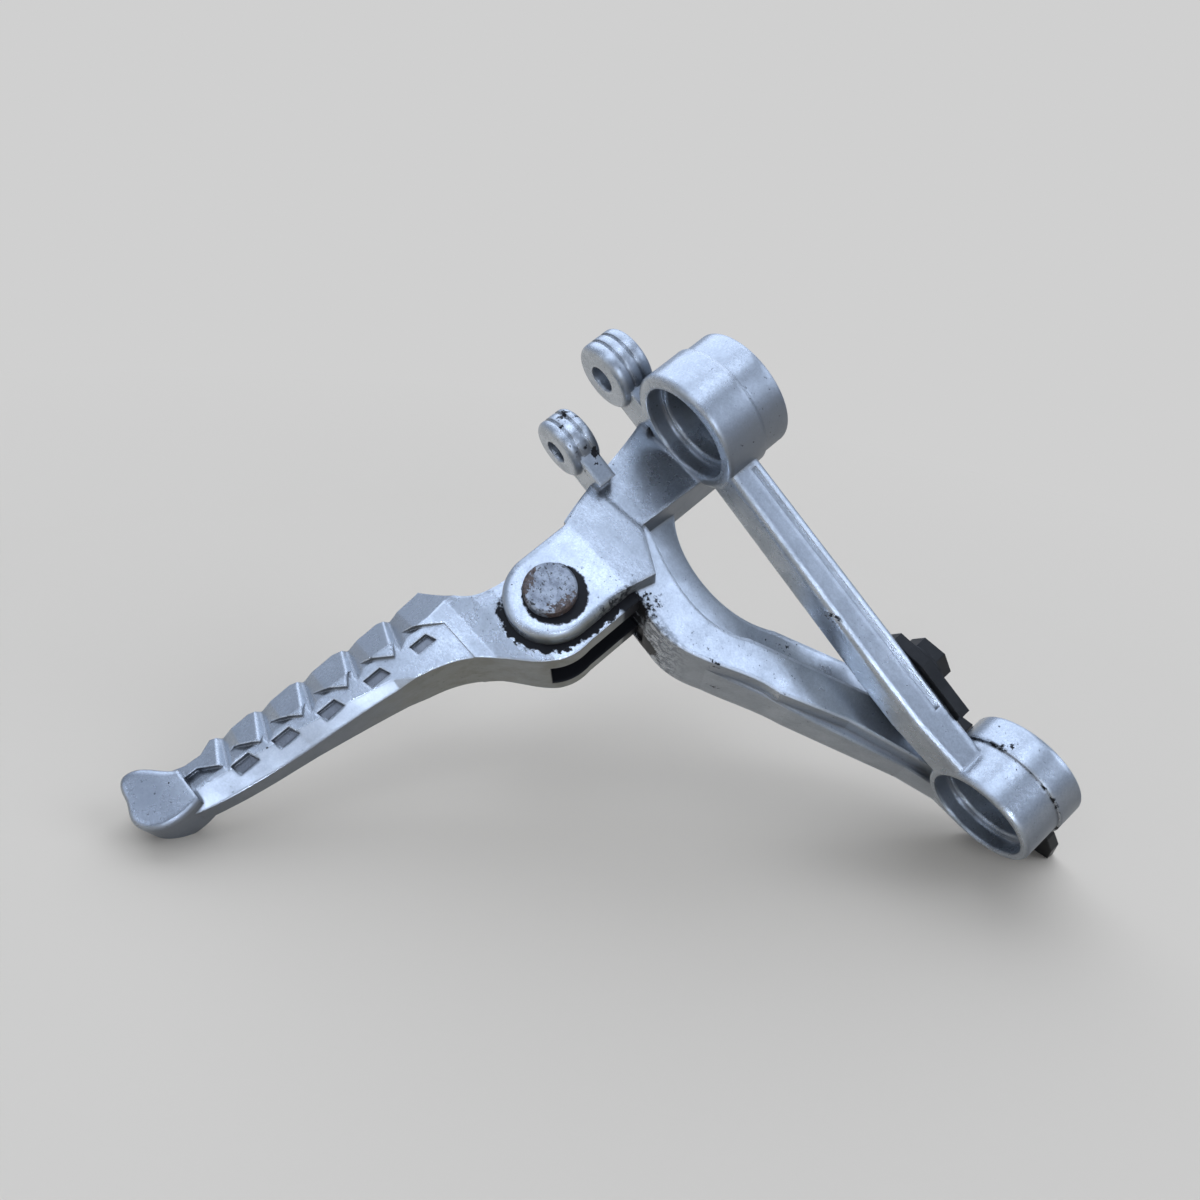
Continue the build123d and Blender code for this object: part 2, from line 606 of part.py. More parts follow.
hole_floor = half_eye - detent_hole_depth
spring_start = hole_floor + spring_wire_radius
spring_end = ball_centre - detent_ball_radius - spring_wire_radius
spring_radius = detent_ball_radius - 2 * spring_wire_radius
with BuildPart() as detent_spring:
    spring_base = pivot + section_up * detent_circle_radius + pin_direction * spring_start
    with BuildLine() as coil:
        Helix(pitch=(spring_end - spring_start) / spring_coils, height=spring_end - spring_start,
              radius=spring_radius, center=spring_base, direction=pin_direction)
    with BuildSketch(Plane(origin=coil.line @ 0, z_dir=coil.line % 0)):
        Circle(spring_wire_radius)
    sweep(is_frenet=True)
detent_spring.part.label = "detent_spring"
export_step(detent_spring.part, "parts/detent_spring.step")

# Cargo hook on the inboard face of the strut, passing behind the lower boss
hook_back = strut_inner - hook_thickness
hook_low_outer = hook_low_inner + hook_thickness
hook_plate_outline = [(-3.6, -45.0), (3.0, -45.0), (8.0, -40.2), (9.3, -31.2), (9.3, -hook_bend_above_boss),
                      (2.0, -19.2), (-7.2, -22.2), (-7.2, -37.2)]
hook_bend_outline = [(8.0, hook_back), (13.5, hook_low_inner), (17.0, hook_low_inner),
                     (17.0, hook_low_outer), (14.8, hook_low_outer), (9.3, strut_inner), (8.0, strut_inner)]
hook_blade_outline = [(13.5, -hook_bend_above_boss - hook_bend_height), (13.5, -hook_bend_above_boss),
                      (0.0, 0.0), (8.0, 14.2), (10.0, 22.7), (12.0, 26.6), (18.2, 31.0), (23.8, 34.1),
                      (32.3, 32.9), (34.6, 29.0), (32.4, 25.4), (26.6, 25.6), (23.4, 21.0), (25.6, 10.0),
                      (26.0, -6.0), (24.0, -20.0), (20.0, -27.0)]
with BuildPart() as cargo_hook:
    with BuildSketch(boss_plane(hook_back, 0, -boss_spacing)):
        with BuildLine():
            Polyline(*hook_plate_outline, close=True)
        make_face()
    extrude(amount=hook_thickness)
    with BuildSketch(Plane(origin=(0, 0, hook_bend_above_boss - boss_spacing), x_dir=(1, 0, 0),
                           z_dir=(0, 0, 1))):
        with BuildLine():
            Polyline(*hook_bend_outline, close=True)
        make_face()
    extrude(amount=hook_bend_height)
    with BuildSketch(boss_plane(hook_low_inner, 0, -boss_spacing)):
        with BuildLine():
            Polyline(*hook_blade_outline, close=True)
        make_face()
        Circle(flange_radius + hook_flange_gap, mode=Mode.SUBTRACT)
    extrude(amount=hook_thickness)
    with BuildSketch(boss_plane(0, hook_bolt_x, hook_bolt_z)):
        Circle(hook_bolt_radius + hook_bolt_clearance)
    extrude(amount=strut_inner, mode=Mode.SUBTRACT)
cargo_hook.part.label = "cargo_hook"
export_step(cargo_hook.part, "parts/cargo_hook.step")

with BuildPart() as hook_bolt:
    with BuildSketch(boss_plane(hook_back, hook_bolt_x, hook_bolt_z)):
        Circle(hook_bolt_flange_radius)
    extrude(amount=-hook_bolt_flange_height)
    with BuildSketch(boss_plane(hook_back - hook_bolt_flange_height, hook_bolt_x, hook_bolt_z)):
        RegularPolygon(radius=hook_bolt_head_flats / 2, side_count=6, major_radius=False)
    extrude(amount=-hook_bolt_head_height)
    with BuildSketch(boss_plane(hook_back, hook_bolt_x, hook_bolt_z)):
        Circle(hook_bolt_radius)
    extrude(amount=hook_thickness + hook_thread_depth - hook_thread_spare)
hook_bolt.part.label = "hook_bolt"
export_step(hook_bolt.part, "parts/hook_bolt.step")
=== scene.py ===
import math

import bpy
from mathutils import Matrix, Vector

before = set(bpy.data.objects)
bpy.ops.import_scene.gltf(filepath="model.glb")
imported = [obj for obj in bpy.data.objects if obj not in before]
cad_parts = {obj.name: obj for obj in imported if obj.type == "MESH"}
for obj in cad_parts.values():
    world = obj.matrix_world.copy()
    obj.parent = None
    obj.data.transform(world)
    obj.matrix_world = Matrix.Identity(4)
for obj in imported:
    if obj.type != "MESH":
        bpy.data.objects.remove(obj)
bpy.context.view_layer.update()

MM = 0.001

# Directions of the part's own frame
REARWARD = Vector((1, 0, 0))
OUTBOARD = Vector((0, 1, 0))
UPWARD = Vector((0, 0, 1))
ORIGIN = Vector((0, 0, 0))

# Camera fitted to the photograph, in the part's own frame
CAMERA_PLACE = Vector((-223.5, 114.9, 2.1)) * MM
CAMERA_RIGHT = Vector((-0.244, -0.748, -0.618))
CAMERA_DOWN = Vector((0.092, 0.616, -0.782))
CAMERA_LENS = 32.14
SENSOR_WIDTH = 36.0
CLIP_NEAR = 0.01
CLIP_FAR = 100

right = CAMERA_RIGHT.normalized()
down = (CAMERA_DOWN - right * CAMERA_DOWN.dot(right)).normalized()
image_up = -down
towards_viewer = -right.cross(down)

# Hinge and lower boss, as in the part's source
PIVOT = Vector((18.51, 64.0, -14.34)) * MM
HINGE_TILT = math.radians(21.6)
PIN_AXIS = Vector((math.cos(HINGE_TILT), 0, -math.sin(HINGE_TILT)))
FOLD_UP = Vector((math.sin(HINGE_TILT), 0, math.cos(HINGE_TILT)))
LOWER_BOSS = Vector((0, 0, -111.2)) * MM

# Ears, fork and eye in millimetres from the pivot: along the pin, outboard and fold-up
EAR_INNER = -10.4
REAR_EAR_INNER = 12.0
EAR_SKIN = (-14.6, -13.6)
FORK_FLOOR = -15.5
FORK_REACH = (20.5, 21.5)
EYE_FACE = -10.1
EYE_BAND = (12.2, 12.45)
EYE_BAND_TOP = (6.5, 7.5)
HEEL = (-10.5, -9.5)
SLOT_SIDES = (-4.55, 5.95)
SLOT_END = 9.5
SLOT_TOP = 1.5

# The ring round the pin's head that the spray missed, low and inboard of the head
RING_INBOARD = 0.5
RING_LOW = 1.1
RING_EDGE = (7.1, 7.4)

# Underside of the front ear, outboard and fold-up from the pivot
EAR_UNDERSIDE_ACROSS = (-15.0, -4.0)
EAR_UNDERSIDE_UP = (-9.3, -10.4)

# Pockets of the peg: outboard and fold-up from the pivot
POCKETS = [(27.5, 11.6), (39.8, 12.3), (51.6, 13.4), (62.6, 15.1), (72.4, 16.4)]
POCKET_HALF_LENGTH = 2.45
POCKET_HALF_HEIGHT = 1.35
POCKET_SKEW = 0.37
KNOB_START = (84.0, 89.0)

# Worn places in millimetres in the part's own frame, each with its radius
FORK_STREAKS = [(9.0, 48.5, -25.0, 3.6), (22.0, 50.0, -33.0, 4.5)]
BRACKET_CHIPS = [(7.5, 44.5, -45.2, 2.6), (19.6, 43.4, -52.3, 2.2), (15.1, 25.8, -55.4, 2.2),
                 (-3.9, 19.3, -53.1, 2.4), (-9.4, 6.3, -100.1, 2.0), (-6.0, 3.7, -98.0, 1.6)]
WORN_LUG = (10.0, 36.6, 14.8, 9.5)
WORN_LUG_OUTBOARD = (32.5, 40.0)
# Centre and radius of the painted shade and the olive stain on the undersides near the hinge
HINGE_SHADE_AND_STAIN = (18.5, 76.0, -16.0, 30.0)
BOSS_STEP_OUTBOARD = (7.5, 8.3)
BOSS_WALL = (13.2, 15.5)

# Rounding of the edges in shading, and reach of the painted shade in corners, in millimetres
SOFT_EDGE = {"bracket": 1.4, "footpeg": 0.9}
PIN_EDGE = 0.35
BRIGHT_STEEL_EDGE = 0.1
BLACK_STEEL_EDGE = 0.5
CORNER_REACH = 2.5

# Noise: size of its blobs in millimetres, detail and roughness
BROAD = (32, 3, 0.55)
CLOUDS = (7, 4, 0.6)
GRAIN = (0.9, 3, 0.7)
FINE_GRAIN = (0.45, 2, 0.6)
RAGGED = (1.6, 5, 0.7)
STREAKS = (1.4, 5, 0.75)
BOSS_PATCHES = (2.8, 4, 0.7)
LUG_PATCHES = (3.4, 4, 0.7)
FLAKES = (1.5, 4, 0.7)
STAINS = (4.5, 5, 0.65)
PORES = (0.75, 2, 0.5)
PORE_GROUPS = (14, 3, 0.55)
SPECKS = (1.7, 2, 0.5)
PIN_PATCHES = (2.4, 6, 0.72)
PIN_PITS = (0.8, 4, 0.7)
PIN_RUST = (1.5, 5, 0.75)
BRIGHT_PATCHES = (1.5, 4, 0.55)
BLACK_PATCHES = (5, 5, 0.6)
DUST = (1.2, 4, 0.7)

# Colours of the casting
PAINT_DARK = (0.455, 0.49, 0.53, 1)
PAINT_LIGHT = (0.53, 0.57, 0.61, 1)
PAINT_CLOUD = (0.42, 0.455, 0.49, 1)
# Painted shade on the undersides, and olive-grey painted shade on the undersides near the hinge
UNDERSIDE_SHADE = (0.150, 0.162, 0.178, 1)
OLIVE_SHADE_UNDER_HINGE = (0.27, 0.27, 0.235, 1)
# Painted highlight on edges
EDGE_HIGHLIGHT = (0.78, 0.82, 0.86, 1)
OLIVE = (0.185, 0.180, 0.150, 1)
# Painted shade in hollow corners
CORNER_SHADE = (0.10, 0.10, 0.105, 1)
POCKET_FLOOR = (0.105, 0.11, 0.12, 1)
KNOB_GREY = (0.24, 0.26, 0.29, 1)
BARE_BLACK = (0.005, 0.005, 0.006, 1)
PAINT_METALLIC = 0.90
PAINT_SPECULAR = 0.2

# Colours of the pin
STEEL_DARK = (0.17, 0.185, 0.21, 1)
STEEL_LIGHT = (0.37, 0.40, 0.44, 1)
RUST_DARK = (0.030, 0.020, 0.016, 1)
RUST_LIGHT = (0.092, 0.063, 0.050, 1)

# Ground, which the knob and the lower boss touch, and the backdrop that it fades into
GROUND_TILT = math.radians(24)
GROUND_UNDER_KNOB = Vector((40.0, 155.0, 6.0)) * MM
GROUND_UNDER_BOSS = Vector((20.0, 12.0, -131.0)) * MM
GROUND_SIZE = 12.0
GROUND_ALBEDO = 0.505
FADE = (0.24, 0.46)
BACKDROP = 0.631

# Light: its tint, the room's level, and bright patches of the room as direction, the cosines
# from it where a patch starts and where it is full, and level
LIGHT_TINT = (0.84, 0.97, 1.23)
ROOM_LEVEL = 0.22
ROOM_PATCHES = [
    (image_up, -0.2, 0.9, 0.42),
    (towards_viewer * 0.72 + image_up * 0.69, 0.93, 0.99, 1.9),
    (towards_viewer * 0.42 + image_up * 0.34 + right * 0.84, 0.91, 0.99, 2.6),
    (towards_viewer * 0.62 - right * 0.78, 0.88, 0.98, 1.0),
    (towards_viewer * 0.88 - image_up * 0.46 + right * 0.20, 0.90, 0.985, 4.2),
]
# Lamps: name, direction that the light comes from, strength and width in degrees
LAMPS = [
    ("edge", towards_viewer * 0.82 + image_up * 0.35 - right * 0.45, 0.10, 7),
    ("front", towards_viewer * 0.88 - image_up * 0.46 + right * 0.20, 1.5, 14),
    ("back", image_up * 1.0 - towards_viewer * 0.2, 1.3, 70),
]


def grey(level):
    return (level, level, level, 1)


class Nodes:
    """Short names for making and joining the nodes of one shader tree."""

    def __init__(self, tree):
        self.tree = tree

    def add(self, kind, **values):
        node = self.tree.nodes.new(kind)
        for key, value in values.items():
            setattr(node, key, value)
        return node

    def link(self, output, socket):
        self.tree.links.new(output, socket)

    def put(self, socket, value):
        """Link a socket to another node's output, or set it to a plain value."""
        if hasattr(value, "is_linked"):
            self.link(value, socket)
        else:
            socket.default_value = value

    def maths(self, operation, a, b=0.0):
        node = self.add("ShaderNodeMath", operation=operation)
        self.put(node.inputs[0], a)
        self.put(node.inputs[1], b)
        return node.outputs[0]

    def plus(self, a, b):
        return self.maths("ADD", a, b)

    def minus(self, a, b):
        return self.maths("SUBTRACT", a, b)

    def times(self, a, b):
        return self.maths("MULTIPLY", a, b)

    def vector_maths(self, operation, a, b, output):
        node = self.add("ShaderNodeVectorMath", operation=operation)
        self.put(node.inputs[0], a)
        self.put(node.inputs[1], b)
        return node.outputs[output]

    def dot(self, a, b):
        return self.vector_maths("DOT_PRODUCT", a, b, "Value")

    def step(self, value, low, high, start=0.0, end=1.0):
        """A ramp from start at low to end at high, and level on either side."""
        node = self.add("ShaderNodeMapRange", clamp=True)
        self.put(node.inputs["Value"], value)
        node.inputs["From Min"].default_value = low
        node.inputs["From Max"].default_value = high
        node.inputs["To Min"].default_value = start
        node.inputs["To Max"].default_value = end
        return node.outputs["Result"]

    def fall(self, value, low, high):
        """Mask that is 1 below low and 0 above high."""
        return self.step(value, low, high, 1, 0)

    def between(self, value, low, high, soft):
        rise = self.step(value, low - soft, low + soft)
        return self.both(rise, self.fall(value, high - soft, high + soft))

    def both(self, *masks):
        result = masks[0]
        for mask in masks[1:]:
            result = self.times(result, mask)
        return result

    def either(self, *masks):
        result = masks[0]
        for mask in masks[1:]:
            result = self.maths("MAXIMUM", result, mask)
        return result

    def shifted(self, value, noise, amount):
        """A value moved to and fro by noise, so that its mask gets a ragged edge."""
        return self.plus(value, self.times(noise, amount))

    def length(self, a, b):
        return self.maths("SQRT", self.plus(self.maths("POWER", a, 2.0), self.maths("POWER", b, 2.0)))

    def mix(self, share, a, b):
        node = self.add("ShaderNodeMix", data_type="RGBA")
        self.put(node.inputs[0], share)
        self.put(node.inputs[6], a)
        self.put(node.inputs[7], b)
        return node.outputs[2]


class Material(Nodes):
    """A material, with the measures and masks that its look is made of."""

    def __init__(self, name, edge=0.0):
        self.material = bpy.data.materials.new(name)
        self.material.use_nodes = True
        super().__init__(self.material.node_tree)
        self.shader = self.tree.nodes["Principled BSDF"]
        self.output = self.tree.nodes["Material Output"]
        coordinates = self.add("ShaderNodeTexCoord")
        self.place = coordinates.outputs["Object"]
        self.own_normal = coordinates.outputs["Normal"]
        geometry = self.add("ShaderNodeNewGeometry")
        self.normal = geometry.outputs["Normal"]
        self.backfacing = geometry.outputs["Backfacing"]
        self.soft = None
        if edge:
            bevel = self.add("ShaderNodeBevel", samples=4)
            bevel.inputs["Radius"].default_value = edge * MM
            self.soft = bevel.outputs["Normal"]
            self.link(self.soft, self.shader.inputs["Normal"])

    def set(self, socket, value):
        self.put(self.shader.inputs[socket], value)

    def noise(self, size, detail, rough):
        """Noise whose blobs are about size millimetres across."""
        node = self.add("ShaderNodeTexNoise")
        self.link(self.place, node.inputs["Vector"])
        node.inputs["Scale"].default_value = 1.0 / (size * MM)
        node.inputs["Detail"].default_value = detail
        node.inputs["Roughness"].default_value = rough
        return node.outputs["Fac"]

    def along(self, axis, origin):
        """Millimetres from origin along axis."""
        moved = self.vector_maths("SUBTRACT", self.place, origin, "Vector")
        return self.times(self.dot(moved, axis), 1 / MM)

    def facing(self, direction):
        """Cosine between the surface and a direction at rest, which turns with the piece."""
        return self.dot(self.own_normal, direction)

    def metres_to(self, place):
        return self.vector_maths("DISTANCE", self.place, place, "Value")

    def near(self, x, y, z, radius, soft):
        """Mask that is 1 within radius of a place, all in millimetres."""
        reach = self.times(self.metres_to(Vector((x, y, z)) * MM), 1 / MM)
        return self.fall(reach, radius - soft, radius + soft)

    def near_any(self, places, soft):
        return self.either(*[self.near(*place, soft) for place in places])

    def corners(self, reach):
        """Mask of painted shade in hollow corners, and mask of painted highlight on edges."""
        node = self.add("ShaderNodeAmbientOcclusion", samples=4, only_local=True)
        node.inputs["Distance"].default_value = reach * MM
        open_sky = node.outputs["AO"]
        bent = self.step(self.dot(self.normal, self.soft), 0.985, 0.90)
        return self.step(open_sky, 0.85, 0.45), self.both(bent, self.step(open_sky, 0.80, 0.95))

    def bump(self, height, strength, distance):
        node = self.add("ShaderNodeBump")
        node.inputs["Strength"].default_value = strength
        node.inputs["Distance"].default_value = distance * MM
        self.link(height, node.inputs["Height"])
        if self.soft is not None:
            self.link(self.soft, node.inputs["Normal"])
        self.link(node.outputs["Normal"], self.shader.inputs["Normal"])


# Black places of the bracket and of the footpeg


def ring_round_head(look, pin, across, up, ragged):
    radius = look.length(look.plus(across, RING_INBOARD), look.plus(up, RING_LOW))
    ring = look.fall(look.shifted(radius, ragged, 2.2), *RING_EDGE)
    return look.both(ring, look.fall(pin, *EAR_SKIN))


def inside_of_fork(look, pin, across, up, ragged):
    return look.both(look.between(pin, EAR_INNER, REAR_EAR_INNER, 0.12),
                     look.step(look.shifted(across, ragged, 9.0), FORK_FLOOR - 0.5, FORK_FLOOR),
                     look.fall(look.shifted(look.length(across, up), ragged, 6.0), *FORK_REACH))


def streaks_of_fork(look, streaks):
    root = look.near_any(FORK_STREAKS, 2.5)
    return look.step(look.shifted(root, look.minus(streaks, 0.5), 2.4), 0.42, 0.52)


def underside_of_ear(look, across, up, streaks):
    return look.both(look.between(across, *EAR_UNDERSIDE_ACROSS, 2.0),
                     look.step(up, *EAR_UNDERSIDE_UP),
                     look.step(streaks, 0.47, 0.53))


def step_of_lower_boss(look, outboard):
    radius = look.length(look.along(REARWARD, LOWER_BOSS), look.along(UPWARD, LOWER_BOSS))
    return look.both(look.between(outboard, *BOSS_STEP_OUTBOARD, 0.25),
                     look.between(radius, *BOSS_WALL, 0.1),
                     look.step(look.noise(*BOSS_PATCHES), 0.53, 0.57))


def grooves_of_lug(look, outboard):
    return look.both(look.near(*WORN_LUG, 0.5),
                     look.between(outboard, *WORN_LUG_OUTBOARD, 0.3),
                     look.step(look.noise(*LUG_PATCHES), 0.57, 0.60))


def chips(look):
    flakes = look.step(look.noise(*FLAKES), 0.56, 0.60)
    return look.both(look.near_any(BRACKET_CHIPS, 0.5), flakes)


def bracket_black(look, pin, across, up, ragged):
    """Where the bracket shows black: round the pin's head, inside the fork and where paint is chipped."""
    streaks = look.noise(*STREAKS)
    outboard = look.along(OUTBOARD, ORIGIN)
    return look.either(ring_round_head(look, pin, across, up, ragged),
                       inside_of_fork(look, pin, across, up, ragged),
                       streaks_of_fork(look, streaks),
                       underside_of_ear(look, across, up, streaks),
                       step_of_lower_boss(look, outboard),
                       grooves_of_lug(look, outboard),
                       chips(look))


def slot_of_eye(look, pin, across, up):
    low, high = SLOT_SIDES
    return look.both(look.between(pin, low - 0.15, high + 0.15, 0.08),
                     look.fall(across, SLOT_END + 0.1, SLOT_END + 0.2),
                     look.fall(up, SLOT_TOP + 0.1, SLOT_TOP + 0.2))


def footpeg_black(look, pin, across, up, ragged):
    """Where the peg shows black: beside the ears, in the slot of its eye and on the heel in the fork."""
    eye = look.length(look.maths("MAXIMUM", across, 0.0), up)
    band = look.fall(look.shifted(eye, ragged, 5.0), *EYE_BAND)
    front = look.both(look.fall(pin, EYE_FACE + 1.4, EYE_FACE + 1.6),
                      look.step(look.facing(-PIN_AXIS), 0.75, 0.85),
                      look.fall(look.shifted(up, ragged, 9.0), *EYE_BAND_TOP),
                      band)
    rear = look.both(look.step(pin, -EYE_FACE - 0.4, -EYE_FACE - 0.25), band)
    return look.either(front, rear, slot_of_eye(look, pin, across, up), look.fall(across, *HEEL))


# Paint of the two castings


def plain_paint(look, clouds, grain):
    """Silver paint, cloudy and grainy."""
    base = look.mix(look.step(look.noise(*BROAD), 0.35, 0.65), PAINT_DARK, PAINT_LIGHT)
    base = look.mix(look.step(clouds, 0.40, 0.65), base, PAINT_CLOUD)
    base = look.mix(look.step(grain, 0.30, 0.70), look.mix(0.14, base, grey(0.0)), base)
    fine = look.step(look.noise(*FINE_GRAIN), 0.35, 0.65)
    return look.mix(fine, look.mix(0.09, base, grey(0.0)), base)


def painted_shade_and_stain_underneath(look, base, under):
    """Painted shade on the undersides, olive-grey near the hinge, with an olive stain there."""
    hinge_side = look.both(look.near(*HINGE_SHADE_AND_STAIN, 12.0), under)
    base = look.mix(look.times(under, 0.85), base, UNDERSIDE_SHADE)
    base = look.mix(look.times(hinge_side, 0.75), base, OLIVE_SHADE_UNDER_HINGE)
    stain = look.both(hinge_side, look.step(look.noise(*STAINS), 0.46, 0.62))
    return look.mix(look.times(stain, 0.6), base, OLIVE)


def painted_edge_highlight_and_corner_shade(look, base, under, grain):
    """Painted highlight on edges, weaker underneath, and painted shade in hollow corners."""
    corner_shade, edge_highlight = look.corners(CORNER_REACH)
    edge_highlight = look.both(edge_highlight, look.step(under, 0.2, 0.6, 0.55, 0.0))
    base = look.mix(edge_highlight, base, EDGE_HIGHLIGHT)
    corner_shade = look.times(corner_shade, look.step(grain, 0.3, 0.7, 0.35, 0.75))
    return look.mix(corner_shade, base, CORNER_SHADE)


def pocket_floors(look, across, up):
    floors = []
    for place, height in POCKETS:
        rise = look.minus(up, height)
        run = look.minus(look.minus(across, place), look.times(rise, POCKET_SKEW))
        run = look.maths("ABSOLUTE", run)
        rise = look.maths("ABSOLUTE", rise)
        floors.append(look.both(look.fall(run, POCKET_HALF_LENGTH - 0.3, POCKET_HALF_LENGTH),
                                look.fall(rise, POCKET_HALF_HEIGHT - 0.2, POCKET_HALF_HEIGHT)))
    return look.either(*floors)


def dark_places_of_peg(look, base, across, up, clouds):
    """Dark pocket floors, and a darker grey knob."""
    base = look.mix(look.times(pocket_floors(look, across, up), 0.85), base, POCKET_FLOOR)
    knob = look.both(look.step(across, *KNOB_START), look.step(clouds, 0.3, 0.7, 0.45, 0.8))
    return look.mix(knob, base, KNOB_GREY)


def silver_paint(name, piece):
    look = Material(name, edge=SOFT_EDGE[piece])
    across = look.along(OUTBOARD, PIVOT)
    up = look.along(FOLD_UP, PIVOT)
    pin = look.along(PIN_AXIS, PIVOT)
    clouds = look.noise(*CLOUDS)
    grain = look.noise(*GRAIN)
    ragged = look.minus(look.noise(*RAGGED), 0.5)
    under = look.step(look.facing(-FOLD_UP), 0.25, 0.8)
    base = plain_paint(look, clouds, grain)
    # Painted shade on the undersides, with an olive stain near the hinge
    base = painted_shade_and_stain_underneath(look, base, under)
    # Painted highlight on edges and painted shade in hollow corners
    base = painted_edge_highlight_and_corner_shade(look, base, under, grain)
    pores = look.step(look.noise(*PORES), 0.68, 0.72)
    pores = look.both(pores, look.step(look.noise(*PORE_GROUPS), 0.47, 0.62))
    specks = look.step(look.noise(*SPECKS), 0.76, 0.78)
    black = look.either(look.times(pores, 0.7), specks)
    if piece == "bracket":
        black = look.either(black, bracket_black(look, pin, across, up, ragged))
    else:
        base = dark_places_of_peg(look, base, across, up, clouds)
        black = look.either(black, footpeg_black(look, pin, across, up, ragged))
    look.set("Base Color", look.mix(black, base, BARE_BLACK))
    look.set("Metallic", look.times(look.minus(1.0, black), PAINT_METALLIC))
    look.set("Specular IOR Level", PAINT_SPECULAR)
    dull = look.times(look.either(black, under), 0.2)
    look.set("Roughness", look.plus(look.step(clouds, 0.3, 0.7, 0.22, 0.32), dull))
    relief = look.plus(look.times(grain, 0.022), look.times(clouds, 0.14))
    look.bump(look.minus(relief, look.times(black, 0.04)), 0.8, 1.0)
    return look.material


# Steel pieces


def rust_of_pin(look):
    """Rust at the outboard edge and along the bottom of the head."""
    across = look.along(OUTBOARD, PIVOT)
    up = look.along(FOLD_UP, PIVOT)
    side = look.plus(look.times(across, 0.6), look.times(up, 0.75))
    low = look.plus(look.times(up, -0.85), look.times(across, 0.1))
    lean = look.either(look.step(side, 3.0, 5.0), look.step(low, 2.4, 4.6))
    worn = look.shifted(lean, look.minus(look.noise(*PIN_RUST), 0.5), 4.5)
    return look.both(look.step(worn, 0.5, 0.62), look.step(look.length(across, up), 1.5, 3.5))


def pin_steel(name):
    look = Material(name, edge=PIN_EDGE)
    patches = look.noise(*PIN_PATCHES)
    pits = look.noise(*PIN_PITS)
    steel = look.mix(look.step(patches, 0.38, 0.62), STEEL_DARK, STEEL_LIGHT)
    steel = look.mix(look.step(pits, 0.55, 0.62), steel, grey(0.05))
    rust = rust_of_pin(look)
    rusty = look.mix(look.step(pits, 0.4, 0.6), RUST_DARK, RUST_LIGHT)
    look.set("Base Color", look.mix(rust, steel, rusty))
    look.set("Metallic", look.step(rust, 0, 1, 0.75, 0.1))
    look.set("Roughness", look.step(patches, 0.3, 0.7, 0.36, 0.6))
    look.bump(look.shifted(patches, pits, 0.5), 0.4, 0.12)
    return look.material


def bright_steel(name):
    look = Material(name, edge=BRIGHT_STEEL_EDGE)
    patches = look.noise(*BRIGHT_PATCHES)
    look.set("Base Color", look.mix(patches, grey(0.35), grey(0.6)))
    look.set("Metallic", 1.0)
    look.set("Roughness", look.step(patches, 0.3, 0.7, 0.2, 0.4))
    look.bump(patches, 0.1, 0.05)
    return look.material


def black_steel(name):
    look = Material(name, edge=BLACK_STEEL_EDGE)
    patches = look.noise(*BLACK_PATCHES)
    dust = look.step(look.noise(*DUST), 0.6, 0.75)
    base = look.mix(look.step(patches, 0.4, 0.7), grey(0.006), grey(0.016))
    look.set("Base Color", look.mix(look.times(dust, 0.3), base, grey(0.06)))
    look.set("Specular IOR Level", 0.25)
    look.set("Roughness", look.step(patches, 0.3, 0.7, 0.34, 0.55))
    look.bump(patches, 0.25, 0.2)
    return look.material


def dress_pieces():
    worn_pin = pin_steel("pin_steel_worn")
    bright = bright_steel("bright_steel")
    black = black_steel("black_steel_worn")
    looks = {
        "bracket": silver_paint("silver_paint_bracket", "bracket"),
        "footpeg": silver_paint("silver_paint_footpeg", "footpeg"),
        "pivot_pin": worn_pin,
        "pin_washer": worn_pin,
        "detent_plate": worn_pin,
        "pin_clip": bright,
        "detent_ball": bright,
        "detent_spring": bright,
        "cargo_hook": black,
        "hook_bolt": black,
    }
    for name, look in looks.items():
        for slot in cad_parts[name].material_slots:
            slot.material = look


# Camera, ground, room and lamps


def make_camera(scene):
    data = bpy.data.cameras.new("camera")
    data.lens = CAMERA_LENS
    data.sensor_width = SENSOR_WIDTH
    data.clip_start = CLIP_NEAR
    data.clip_end = CLIP_FAR
    camera = bpy.data.objects.new("camera", data)
    turn = Matrix((right, image_up, towards_viewer)).transposed()
    camera.matrix_world = Matrix.Translation(CAMERA_PLACE) @ turn.to_4x4()
    scene.collection.objects.link(camera)
    scene.camera = camera


def ground_look(middle):
    """Matt grey that fades into the backdrop away from the object, and can't be seen from below."""
    look = Material("ground_grey")
    look.set("Base Color", (*[GROUND_ALBEDO / part for part in LIGHT_TINT], 1))
    look.set("Roughness", 1.0)
    look.set("Specular IOR Level", 0.0)
    backdrop = look.add("ShaderNodeEmission")
    backdrop.inputs["Color"].default_value = grey(BACKDROP)
    clear = look.add("ShaderNodeBsdfTransparent")
    fade = look.add("ShaderNodeMixShader")
    look.link(look.step(look.metres_to(middle), *FADE), fade.inputs[0])
    look.link(look.shader.outputs[0], fade.inputs[1])
    look.link(backdrop.outputs[0], fade.inputs[2])
    one_sided = look.add("ShaderNodeMixShader")
    look.link(look.backfacing, one_sided.inputs[0])
    look.link(fade.outputs[0], one_sided.inputs[1])
    look.link(clear.outputs[0], one_sided.inputs[2])
    look.link(one_sided.outputs[0], look.output.inputs["Surface"])
    return look.material


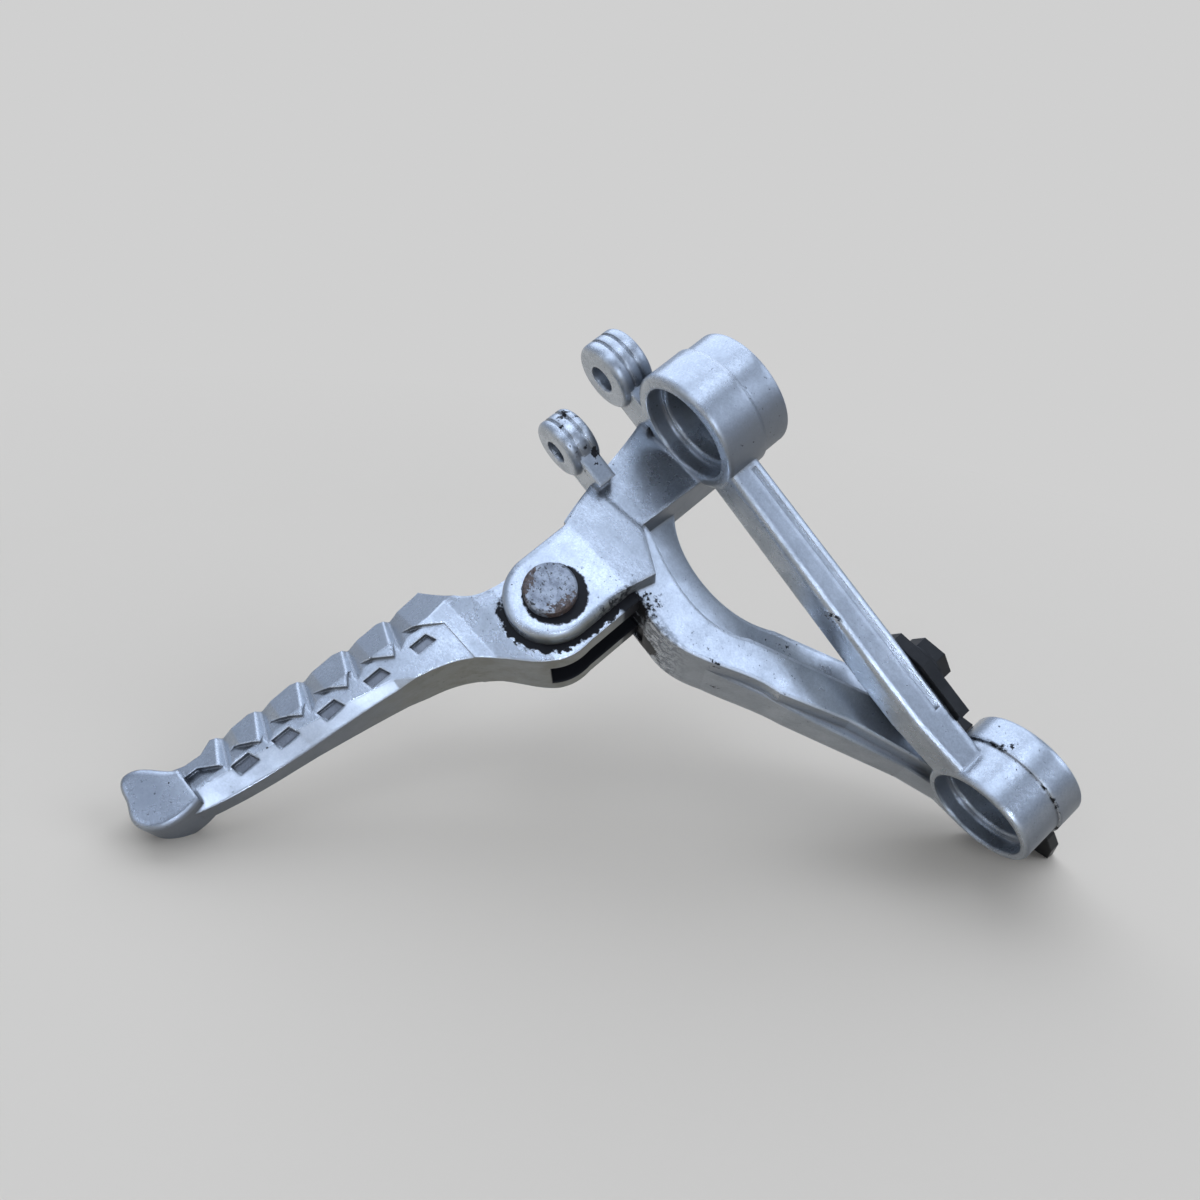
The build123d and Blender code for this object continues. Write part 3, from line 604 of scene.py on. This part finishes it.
def make_ground(scene):
    """A square that passes under the knob and the lower boss and faces up and towards the viewer."""
    normal = image_up * math.cos(GROUND_TILT) + towards_viewer * math.sin(GROUND_TILT)
    line = (GROUND_UNDER_KNOB - GROUND_UNDER_BOSS).normalized()
    normal = normal.normalized()
    normal = (normal - line * normal.dot(line)).normalized()
    side = line.cross(normal).normalized()
    middle = (GROUND_UNDER_KNOB + GROUND_UNDER_BOSS) / 2
    corners = [middle + line * a * GROUND_SIZE + side * b * GROUND_SIZE
               for a, b in ((-1, -1), (1, -1), (1, 1), (-1, 1))]
    if (corners[1] - corners[0]).cross(corners[2] - corners[0]).dot(normal) < 0:
        corners.reverse()
    mesh = bpy.data.meshes.new("ground")
    mesh.from_pydata([tuple(corner) for corner in corners], [], [(0, 1, 2, 3)])
    mesh.materials.append(ground_look(middle))
    ground = bpy.data.objects.new("ground", mesh)
    scene.collection.objects.link(ground)


def make_room(scene):
    """Pale grey to the camera. For light, a dim room with bright patches."""
    scene.world = bpy.data.worlds.new("world")
    scene.world.use_nodes = True
    room = Nodes(scene.world.node_tree)
    room.tree.nodes.clear()
    direction = room.add("ShaderNodeTexCoord").outputs["Generated"]
    level = ROOM_LEVEL
    for towards, start, full, strength in ROOM_PATCHES:
        patch = room.step(room.dot(direction, towards.normalized()), start, full)
        level = room.plus(level, room.times(patch, strength))
    seen = room.add("ShaderNodeBackground")
    seen.inputs["Color"].default_value = grey(BACKDROP)
    lit = room.add("ShaderNodeBackground")
    lit.inputs["Color"].default_value = (*LIGHT_TINT, 1)
    room.link(level, lit.inputs["Strength"])
    pick = room.add("ShaderNodeMixShader")
    room.link(room.add("ShaderNodeLightPath").outputs["Is Camera Ray"], pick.inputs[0])
    room.link(lit.outputs[0], pick.inputs[1])
    room.link(seen.outputs[0], pick.inputs[2])
    room.link(pick.outputs[0], room.add("ShaderNodeOutputWorld").inputs["Surface"])


def make_lamp(scene, name, towards, strength, width):
    data = bpy.data.lights.new(name, "SUN")
    data.energy = strength
    data.angle = math.radians(width)
    data.color = LIGHT_TINT
    lamp = bpy.data.objects.new(name, data)
    lamp.rotation_mode = "QUATERNION"
    lamp.rotation_quaternion = towards.normalized().to_track_quat("Z", "Y")
    scene.collection.objects.link(lamp)


scene = bpy.context.scene
scene.view_settings.view_transform = "Standard"
make_camera(scene)
dress_pieces()
make_ground(scene)
make_room(scene)
for lamp in LAMPS:
    make_lamp(scene, *lamp)
